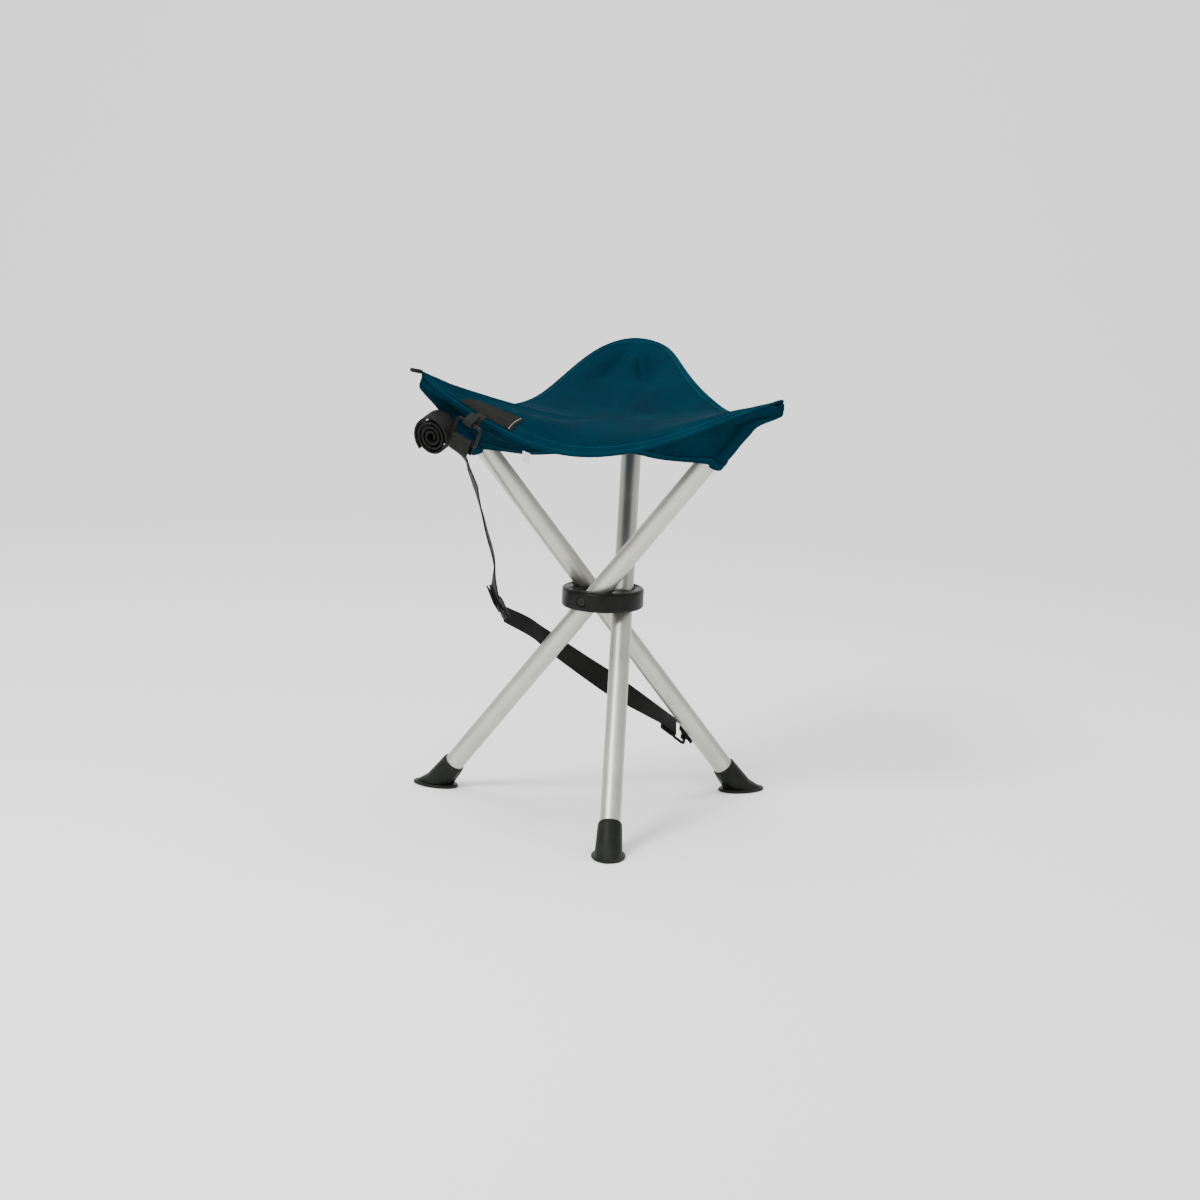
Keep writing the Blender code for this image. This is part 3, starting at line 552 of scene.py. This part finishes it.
# The folded hem's section: inset from the edge, and height above the cloth's middle.
HEM_SECTION = ((0.0100, 0.0002), (0.0096, 0.0008), (0.0060, 0.0010), (0.0028, 0.0010), (0.0010, 0.0009),
               (0.0002, 0.0005), (0.0, 0.0), (0.0002, -0.0005), (0.0010, -0.0009), (0.0028, -0.0010),
               (0.0060, -0.0010), (0.0096, -0.0008), (0.0100, -0.0002))
HEM_STITCH_INSETS = (0.0024, 0.0076)
CLOTH_INSET = 0.0092


def build_corner(leg):
    """One third of the seat: the cloth, its folded hem and the hem's two rows of stitches."""
    start = LEGS[leg] + CORNER_TURN
    angles = np.linspace(start - 60, start + 60, 121)
    shares = [*np.linspace(0.0, 0.80, 28), *np.linspace(0.80, 1.0, 13)[1:-2]]
    points, normals, cut = seat_patch(angles, [("out", out) for out in shares] + [("in", CLOTH_INSET)])
    panel = sheet_grid(f"seat_cloth_{leg}", points, cut, CLOTH_THICK, CLOTH, normals)
    work = bmesh.new()
    work.from_mesh(panel.data)
    bmesh.ops.remove_doubles(work, verts=work.verts, dist=1e-6)
    work.to_mesh(panel.data)
    work.free()

    fine = np.linspace(start - 60, start + 60, 241)
    edge, lean, cut = seat_patch(fine, [("in", inset) for inset, _ in HEM_SECTION])
    lift = np.array([height for _, height in HEM_SECTION])[:, None, None]
    pucker = 1 + 0.10 * np.sin(0.9 * np.arange(len(fine)))[None, :, None] * (np.abs(lift) > 0.0006)
    points = (edge + lean * lift * pucker).transpose(1, 0, 2).reshape(-1, 3)
    uvs = cut.transpose(1, 0, 2).reshape(-1, 2)
    hem = add(f"seat_hem_{leg}", points, tube_faces(len(fine), len(HEM_SECTION)), HEM, uvs)

    sewn = []
    for inset in HEM_STITCH_INSETS:
        line, up, _ = seat_patch(fine, [("in", inset)])
        sewn.append((line[0] + up[0] * 0.00105, up[0], STITCH_PITCH, 0.00028))
        sewn.append((line[0] - up[0] * 0.00105, -up[0], STITCH_PITCH, 0.00028))
    seam = stitches(f"hem_stitches_{leg}", sewn)
    for piece in (panel, hem, seam):
        follow(piece)
    return panel, hem, seam


# ---------------------------------------------------------------- pockets under the corners
POCKET_REACH = 0.40
POCKET_MOUTH = 0.1985
POCKET_R = 0.0137


def build_pocket(leg):
    """A cloth wrap from one seat edge, under the leg's end, to the other edge, with a stitched mouth band."""
    place = leg_frame(leg)
    back = place.inverted()
    corner = back @ Vector(CORNER_PLACES[leg])
    pin = directions(leg)[1]
    others = sorted((k for k in LEGS if k != leg),
                    key=lambda k: float(np.dot(CORNER_PLACES[k] - CORNER_PLACES[leg], pin)))
    grid = []
    for step in np.linspace(0.0, 1.0, 45):
        t = 0.04 + (POCKET_REACH - 0.04) * step
        ends = []
        for other in others:
            angle = edge_angle(leg, other, t)
            ends.append(np.array(back @ Vector(seat_point(angle, 1 - 0.0016 / rim(angle)[0], lift=-0.0011))))
        station = corner.z - 0.003 + (POCKET_MOUTH - corner.z + 0.003) * step
        low = -corner.x + 0.0012 + 0.0100 * ease(step / 0.09)
        low += (POCKET_R - low) * ease(step / 0.45)
        radius = 0.0020 + (POCKET_R - 0.0020) * ease(step / 0.40)
        row = []
        for a in np.radians((-78, -52, -26, 0, 26, 52, 78)):
            row.append(np.array((-low + radius * (1 - math.cos(a)), radius * math.sin(a), station)))
        first = ends[0] * 0.62 + row[0] * 0.38 + (-0.0030, 0, 0)
        last = ends[1] * 0.62 + row[-1] * 0.38 + (-0.0030, 0, 0)
        grid.append(smooth_path([ends[0], first] + row + [last, ends[1]], 6))
    grid = np.array(grid)
    rows, columns = grid.shape[:2]
    down = np.linspace(0, 1, rows)[:, None]
    over = np.linspace(-1, 1, columns)[None, :]
    ripple = 0.0013 * np.sin(9 * np.abs(over) ** 0.8 * math.pi * 0.5 + 2.2 * down + ord(leg)) * down * (1 - down**6)
    ripple += 0.0007 * np.sin(23 * down + 5 * over) * np.sin(math.pi * down)
    ripple = ripple * np.clip((1 - np.abs(over)) / 0.10, 0, 1) * np.clip(np.abs(over) / 0.45, 0, 1)
    grid = grid + grid_normals(grid) * ripple[:, :, None]
    length = np.cumsum(np.linalg.norm(np.diff(grid, axis=1, prepend=grid[:, :1]), axis=2), axis=1)
    length = length - length[:, columns // 2 : columns // 2 + 1]
    fall = np.cumsum(np.linalg.norm(np.diff(grid, axis=0, prepend=grid[:1]), axis=2), axis=0)
    cut = np.stack([length, fall], 2)
    world = np.array([[np.array(place @ Vector(p)) for p in row] for row in grid])
    cloth = sheet_grid(f"pocket_cloth_{leg}", world, cut, CLOTH_THICK, CLOTH)

    outward = grid_normals(world)
    middle = world[:, columns // 2] - world[:, 0]
    if np.dot(outward[rows // 2, columns // 2], middle[rows // 2]) < 0:
        outward = -outward
    mouth = slice(rows - 5, rows)
    band = sheet_grid(f"pocket_hem_{leg}", world[mouth] + outward[mouth] * 0.00085, cut[mouth], 0.0008, HEM)
    line, up = world[rows - 4], outward[rows - 4]
    seam = stitches(f"pocket_stitches_{leg}", [(line + up * 0.00130, up, STITCH_PITCH, 0.00026)])
    for piece in (cloth, band, seam):
        follow(piece)
    return cloth, band, seam


# ---------------------------------------------------------------- label, tag and tab
def build_trim():
    """Blank woven label on the front edge, a care tag below it and a tape tab on the left corner."""
    shares = np.linspace(0.120, 0.268, 34)
    angles = [edge_angle("a", "b", t) for t in shares]
    depths = np.linspace(0.97, 0.85, 14)
    points, normals, _ = seat_patch(angles, [("out", out) for out in depths])
    lift = np.array([0.0009 + 0.0010 * ease((out - 0.905) / 0.02) for out in depths])[:, None, None]
    points = points + normals * lift
    across_length = np.concatenate([[0], np.cumsum(np.linalg.norm(np.diff(points[0], axis=0), axis=1))])
    down_length = np.concatenate([[0], np.cumsum(np.linalg.norm(np.diff(points[:, 0], axis=0), axis=1))])
    cut = np.stack(np.meshgrid(across_length, down_length), 2)
    label = sheet_grid("label_cloth", points, cut, 0.0006, LABEL, normals)
    line, up = (np.concatenate([grid[1, 1:-1], grid[1:-1, -2], grid[-2, 1:-1][::-1], grid[1:-1, 1][::-1]])
                for grid in (points, normals))
    seam = stitches("label_stitches", [(line + up * 0.00035, up, 0.0028, 0.00020)], LABEL)
    end = [(points[:, -3] + normals[:, -3] * 0.00036, normals[:, -3], 0.0024, 0.00026)]
    bar = stitches("label_end_stitches", end, PALE_THREAD)

    grid, cut = [], []
    drops = np.linspace(0, 0.0105, 10)
    for t in np.linspace(0.306, 0.326, 9):
        edge = seat_point(edge_angle("a", "b", t), 0.99)
        curl = 0.0006 * math.sin((t - 0.306) / 0.02 * math.pi)
        grid.append([edge + (0, -curl - 0.002 * (drop / 0.02) ** 2, -0.0085 - drop) for drop in drops])
        cut.append([(t * 0.35, drop) for drop in drops])
    tag = sheet_grid("care_tag_cloth", np.array(grid), np.array(cut), 0.0004, TAG)

    corner = CORNER_PLACES["a"]
    out = unit(corner - seat_point(LEGS["a"] + CORNER_TURN, 0.97))
    side = unit(np.cross(out, (0, 0, 1)))
    up = np.cross(side, out)
    path = [corner + out * s - up * 0.25 * s for s in np.linspace(0.0004, 0.0100, 12)]
    tab, _ = webbing("corner_tape", path, [side] * len(path), 0.009, 0.0036, LABEL)
    for piece in (label, seam, bar, tag, tab):
        follow(piece)
    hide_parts("seat_label")
    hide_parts("care_tag")
    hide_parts("corner_tab")


# ---------------------------------------------------------------- legs, feet, hub
CUFF_LENGTH, CUFF_TOP_R, CUFF_BASE_R = 0.035, 0.0117, 0.0130
PAD_LONG, PAD_WIDE, PAD_THICK = 0.0254, 0.0165, 0.0025


def build_leg(leg):
    """Tube with eased ends, in place of the plain one, and a moulded foot: cuff, rib and oval pad."""
    place = leg_frame(leg)
    low, high, inner = BASE_GAP - FOOT_S, TOP_S, TUBE_R - 0.0012
    profile = [(inner, low), (TUBE_R - 0.0003, low), (TUBE_R, low + 0.0003)]
    profile += [(TUBE_R, z) for z in np.linspace(low + 0.01, high - 0.01, 40)]
    profile += [(TUBE_R, high - 0.0003), (TUBE_R - 0.0003, high), (inner, high)]
    tube = lathe(f"tube_{leg}", profile, TUBES[leg], place, segments=96, closed=True)
    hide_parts(f"leg_tube_{leg}")

    out = directions(leg)[0]
    top = CUFF_LENGTH - FOOT_S
    cuff = [(CUFF_BASE_R, -FOOT_S - 0.022), (CUFF_BASE_R + 0.0002, -FOOT_S + 0.004), (CUFF_BASE_R, -FOOT_S + 0.010)]
    cuff += [(CUFF_TOP_R + 0.0001, top - 0.0032), (CUFF_TOP_R, top - 0.0014), (CUFF_TOP_R - 0.0004, top - 0.0005)]
    cuff += [(CUFF_TOP_R - 0.0010, top), (TUBE_R + 0.0001, top - 0.0001), (TUBE_R + 0.0001, top - 0.004)]
    sleeve = lathe(f"foot_cuff_{leg}", cuff, RUBBER, place, segments=96)
    rib = ((-0.0048, 0.0), (-0.0040, 0.0007), (0.0040, 0.0007), (0.0048, 0.0))
    points = []
    for z, radius, width in ((-FOOT_S + 0.007, CUFF_BASE_R, 1.25), (-FOOT_S + 0.012, CUFF_BASE_R - 0.0002, 1.1),
                             (top - 0.006, CUFF_TOP_R, 1.0), (top - 0.0035, CUFF_TOP_R - 0.0004, 0.9)):
        for y, rise in rib:
            depth = math.sqrt(max(radius**2 - (y * width) ** 2, 0.0))
            points.append(place @ Vector((-(depth + rise), y * width, z)))
        for y, _ in reversed(rib):
            depth = math.sqrt(max(radius**2 - (y * width) ** 2, 0.0)) - 0.0012
            points.append(place @ Vector((-depth, y * width, z)))
    flat = add(f"foot_rib_{leg}", points, tube_faces(4, 8), RUBBER)

    base = np.array(pivot(leg)) - out * (PIVOT_Z / math.tan(LEAN))
    ground = frame_of((base[0], base[1], 0.0), out, (0, 0, 1))
    profile = [(PAD_LONG - 0.0016, 0.0), (PAD_LONG - 0.0006, 0.0002), (PAD_LONG - 0.0001, 0.0007),
               (PAD_LONG, 0.0012), (PAD_LONG - 0.0003, PAD_THICK - 0.0006),
               (PAD_LONG - 0.0011, PAD_THICK - 0.0001), (PAD_LONG - 0.0022, PAD_THICK), (0.0120, PAD_THICK + 0.0003)]
    squash = PAD_WIDE / PAD_LONG
    pad = lathe(f"foot_pad_{leg}", profile, RUBBER, ground @ Matrix.Diagonal((1, squash, 1, 1)), segments=96)
    for piece in (sleeve, pad, flat):
        for vertex in piece.data.vertices:
            vertex.co.z = max(vertex.co.z, 0.0008 if piece is not pad else 0.0)
    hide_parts(f"foot_{leg}")
    for piece in (tube, sleeve, pad, flat):
        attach(piece, f"leg_{leg}")


def dress_cad():
    """Materials and smooth shading on the CAD shapes that stay."""
    looks = {"hub_ring": PLASTIC, "anchor_lug": RING_PLASTIC, "anchor_rivet_upper": STEEL, "anchor_rivet_lower": STEEL}
    for leg in LEGS:
        looks[f"pivot_pin_{leg}"] = STEEL
        looks[f"end_plug_{leg}"] = PLASTIC
    for name, look in looks.items():
        piece = bpy.data.objects[name]
        piece.data.materials.clear()
        piece.data.materials.append(look)
        piece.data.polygons.foreach_set("use_smooth", [True] * len(piece.data.polygons))
        piece.data.polygons.foreach_set("material_index", [0] * len(piece.data.polygons))
        weld = piece.modifiers.new("weld", "WELD")
        weld.merge_threshold = 1e-6
        piece.data.set_sharp_from_angle(angle=math.radians(35))
        even = piece.modifiers.new("even", "WEIGHTED_NORMAL")
        even.keep_sharp = True
        even.weight = 60


# ---------------------------------------------------------------- straps and rings, placed from the hub's axis
BAR_R = 0.0015
HOOK_R = BAR_R + 0.0004 + WEB_THICK / 2
RING_LONG = 0.033
RING_CORNER = 0.0035
ANCHOR_S = -0.1925
ANCHOR_BAR = 0.0139
ANCHOR_TURN = math.radians(145.08)
SLIDER_AT = (-0.1035, 0.0020, 0.2060)
SLIDER_LONG = (0.35, -0.75, -0.56)
SLIDER_DOWN = (0.45, 0.30, -0.85)
SLIDER_WIDE = 0.0190
RING_AT = (-0.1315, -0.1115, 0.3905)
RING_WAY = (0.72, -0.64, -0.28)
RING_DOWN = (-0.30, 0.08, -0.95)
RING_WIDE = 0.0180
COIL_AT = (-0.1620, -0.0870, 0.3845)
COIL_WIDE = 0.021
COIL_AXIS = (0.40, 0.88, 0.26)
COIL_START, COIL_END = math.radians(-40), math.radians(1300)
COIL_OUTER_R, COIL_FALL = 0.0185, 0.0155


def across(v, axis):
    """The part of v square to the axis, at length one."""
    return unit(v - np.dot(v, axis) * np.array(axis))


def moved(point):
    """A point given from the hub's axis, in world space."""
    return np.array(point, float) + AXIS


def hook(centre, toward, bar, start, back):
    """Webbing that comes up to a bar, turns round it and runs back."""
    t = across(toward, bar)
    m = np.cross(bar, t)
    turn = [centre + HOOK_R * (m * math.cos(a) + t * math.sin(a)) for a in np.linspace(0, math.pi, 17)]
    return [centre + m * HOOK_R - t * start] + turn + [centre - m * HOOK_R - t * back]


def anchor_points():
    """Middles of the lower ring's held and free bars, and the way the bars run."""
    place = leg_frame("a")
    way = np.array((math.cos(ANCHOR_TURN), math.sin(ANCHOR_TURN), 0.0))
    bar = np.array((way[1], -way[0], 0.0))
    up = np.array((0.0, 0.0, 1.0))
    held = way * ANCHOR_BAR + up * ANCHOR_S
    free = held + 0.0145 * unit(0.96 * up + 0.28 * way)
    turn = place.to_3x3()
    return np.array(place @ Vector(held)), np.array(place @ Vector(free)), np.array(turn @ Vector(bar))


def build_rings():
    """Moulded rings at both ends of the carry strap, and its two slot slider."""
    held, free, direction = anchor_points()
    half = np.linalg.norm(free - held) / 2
    place = frame_of(held, direction, np.cross(direction, free - held))
    path = [(x, y + half, z) for x, y, z in rounded_loop(RING_LONG, 2 * half, RING_CORNER)]
    lower = wire_loop("lower_ring", path, BAR_R, RING_PLASTIC, place)
    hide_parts("anchor_ring")
    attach(lower, "anchor_ring")

    long = unit(SLIDER_LONG)
    down = across(SLIDER_DOWN, long)
    place = frame_of(moved(SLIDER_AT), long, np.cross(long, down))
    slider = wire_loop("slider_frame", rounded_loop(RING_LONG, SLIDER_WIDE, RING_CORNER), BAR_R, RING_PLASTIC, place)
    bar = lathe("slider_bar", [(BAR_R * 0.93, -RING_LONG / 2), (BAR_R * 0.93, RING_LONG / 2)], RING_PLASTIC,
                place @ Matrix.Rotation(math.pi / 2, 4, "Y"), segments=24)
    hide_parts("strap_slider")
    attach(slider, "strap_slider")
    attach(bar, "strap_slider")

    long, down = unit(RING_WAY), across(RING_DOWN, unit(RING_WAY))
    place = frame_of(moved(RING_AT), long, np.cross(long, down))
    upper = wire_loop("upper_ring", rounded_loop(RING_LONG, RING_WIDE, RING_CORNER), BAR_R, RING_PLASTIC, place)
    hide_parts("corner_ring")
    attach(upper, "leg_a")


def turning(keys, count):
    """Wide directions along a strap, from a few that are fixed at shares of its length."""
    shares = [share for share, _ in keys]
    ways = np.array([way for _, way in keys])
    return [unit([np.interp(t, shares, ways[:, k]) for k in range(3)]) for t in np.linspace(0, 1, count)]


def build_straps():
    """Ring tape, both runs of the carry strap and the rolled closure strap, and their lengths."""
    long, down = unit(RING_WAY), across(RING_DOWN, unit(RING_WAY))
    centre = moved(RING_AT)
    tape = hook(centre - down * RING_WIDE / 2, (0.0, -0.80, -0.60), long, 0.0165, 0.010)
    loop, loop_length = webbing("ring_tape_web", tape, [long] * len(tape), 0.012)
    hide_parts("ring_tape")

    bar = unit(SLIDER_LONG)
    way = across(SLIDER_DOWN, bar)
    slider = moved(SLIDER_AT)
    top = hook(centre + down * RING_WIDE / 2, -down, long, 0.011, 0.010)
    base = hook(slider, way, bar, 0.014, 0.015)
    middle = smooth_path([top[0], moved((-0.1292, -0.0985, 0.3560)), moved((-0.1229, -0.0720, 0.3253)),
                          moved((-0.1137, -0.0450, 0.2835)), moved((-0.1071, -0.0240, 0.2514)), base[0]], 16)
    turned = unit((0.05, -1.0, 0.0))
    keys = ((0.0, long), (0.14, turned), (0.30, unit((0.29, -1.0, 0.0))), (0.55, turned), (0.86, turned),
            (1.0, bar))
    twist = turning(keys, len(middle))
    path = list(reversed(top))[:-1] + list(middle) + base[1:]
    wide = [long] * (len(top) - 1) + twist + [bar] * (len(base) - 1)
    upper, upper_length = webbing("strap_upper_web", path, wide, WEB_WIDE)
    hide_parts("strap_upper")

    held, free, direction = anchor_points()
    away = unit(free - held)
    head = hook(slider + way * SLIDER_WIDE / 2, -way, bar, 0.009, 0.008)
    foot = hook(free, -away, -direction, 0.012, 0.014)
    run = smooth_path([head[0], moved((-0.0722, 0.0240, 0.1773)), moved((-0.0541, 0.0340, 0.1623)),
                       moved((-0.0166, 0.0500, 0.1338)), moved((0.0192, 0.0620, 0.1090)), foot[0]], 16)
    lean = unit((0.1, -0.45, -0.88))
    twist = [unit(bar * (1 - t / 0.75) + lean * t / 0.75) if t < 0.75
             else unit(lean * (1 - t) / 0.25 - direction * (t - 0.75) / 0.25) for t in np.linspace(0, 1, len(run))]
    lower_path = list(reversed(head))[:-1] + list(run) + foot[1:]
    lower_wide = [bar] * (len(head) - 1) + twist + [-direction] * (len(foot) - 1)
    lower, lower_length = webbing("strap_lower_web", lower_path, lower_wide, WEB_WIDE)
    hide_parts("strap_lower")

    wide = unit(COIL_AXIS)
    rise = across((0.0, 0.0, 1.0), wide)
    sideways = np.cross(rise, wide)
    coil = []
    for angle in np.linspace(COIL_START, COIL_END, 300):
        radius = COIL_OUTER_R - COIL_FALL * (angle - COIL_START) / (COIL_END - COIL_START)
        coil.append(moved(COIL_AT) + radius * (math.cos(angle) * sideways + 1.12 * math.sin(angle) * rise))
    curl, curl_length = webbing("closure_web", coil, [wide] * len(coil), COIL_WIDE)
    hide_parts("closure_strap")

    for piece in (loop, upper, lower, curl):
        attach(piece, "leg_a")
    return {"tape": loop_length, "upper": upper_length, "lower": lower_length, "closure": curl_length}


# ---------------------------------------------------------------- assembly
dress_cad()
panels = {}
for leg_name in LEGS:
    build_leg(leg_name)
    panels[leg_name] = build_corner(leg_name)
    pouch = build_pocket(leg_name)
    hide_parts(f"seat_pocket_{leg_name}")
    panels[leg_name] += pouch
build_trim()
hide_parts("seat_panel")
build_rings()
lengths = build_straps()

# ---------------------------------------------------------------- floor, light and camera
def floor_look(tree, shader):
    shader.inputs["Base Color"].default_value = (0.97, 0.97, 0.97, 1)
    shader.inputs["Roughness"].default_value = 0.9


def build_floor():
    """A level sweep that rises behind the object."""
    profile = [(-6.0, 0.0), (1.6, 0.0)]
    profile += [(1.6 + 1.4 * math.sin(a), 1.4 - 1.4 * math.cos(a)) for a in np.linspace(0.1, math.pi / 2, 14)]
    profile += [(3.0, 5.0)]
    points, faces = [], []
    for y, z in profile:
        points += [(-6.0, y, z - 0.0005), (6.0, y, z - 0.0005)]
    for k in range(len(profile) - 1):
        faces.append((2 * k, 2 * k + 1, 2 * k + 3, 2 * k + 2))
    mesh = bpy.data.meshes.new("sweep")
    mesh.from_pydata(points, [], faces)
    mesh.polygons.foreach_set("use_smooth", [True] * len(mesh.polygons))
    floor = bpy.data.objects.new("sweep", mesh)
    scene.collection.objects.link(floor)
    floor.data.materials.append(make_material("floor_look", floor_look))


def area_light(name, place, target, size, power):
    """A soft rectangular light that faces the target."""
    data = bpy.data.lights.new(name, "AREA")
    data.shape = "RECTANGLE"
    data.size, data.size_y = size
    data.energy = power
    light = bpy.data.objects.new(name, data)
    scene.collection.objects.link(light)
    light.location = place
    light.rotation_euler = (Vector(target) - Vector(place)).to_track_quat("-Z", "Y").to_euler()


build_floor()
area_light("key", (-1.3, -1.6, 2.2), (0, 0, 0.25), (0.9, 0.9), 80)
area_light("fill", (2.2, -1.6, 1.3), (0, 0, 0.25), (1.2, 1.2), 10)
area_light("top", (0.0, 0.2, 2.6), (0, 0, 0.2), (2.0, 2.0), 55)
world = bpy.data.worlds.new("studio")
world.use_nodes = True
world.node_tree.nodes["Background"].inputs["Color"].default_value = (1, 1, 1, 1)
world.node_tree.nodes["Background"].inputs["Strength"].default_value = 0.75
scene.world = world


def place_camera():
    """A long lens in front of the stool and a little to its right, tilted down and not quite level."""
    position = Vector(AXIS) + Vector((0.10457, -3.33752, 0.85728))
    tilt, yaw, roll = math.radians(10.93), math.radians(-1.84), math.radians(2.13)
    turn = Matrix.Rotation(-yaw, 3, "Z")
    right = turn @ Vector((1, 0, 0))
    forward = turn @ Vector((0, math.cos(tilt), -math.sin(tilt)))
    up = right.cross(forward)
    right, up = (math.cos(roll) * right + math.sin(roll) * up, -math.sin(roll) * right + math.cos(roll) * up)
    data = bpy.data.cameras.new("camera")
    data.lens = 103.33
    data.sensor_width = 36.0
    data.clip_end = 50.0
    camera = bpy.data.objects.new("camera", data)
    scene.collection.objects.link(camera)
    rows = Matrix((right, up, -forward)).transposed().to_4x4()
    rows.translation = position
    camera.matrix_world = rows
    scene.camera = camera


place_camera()
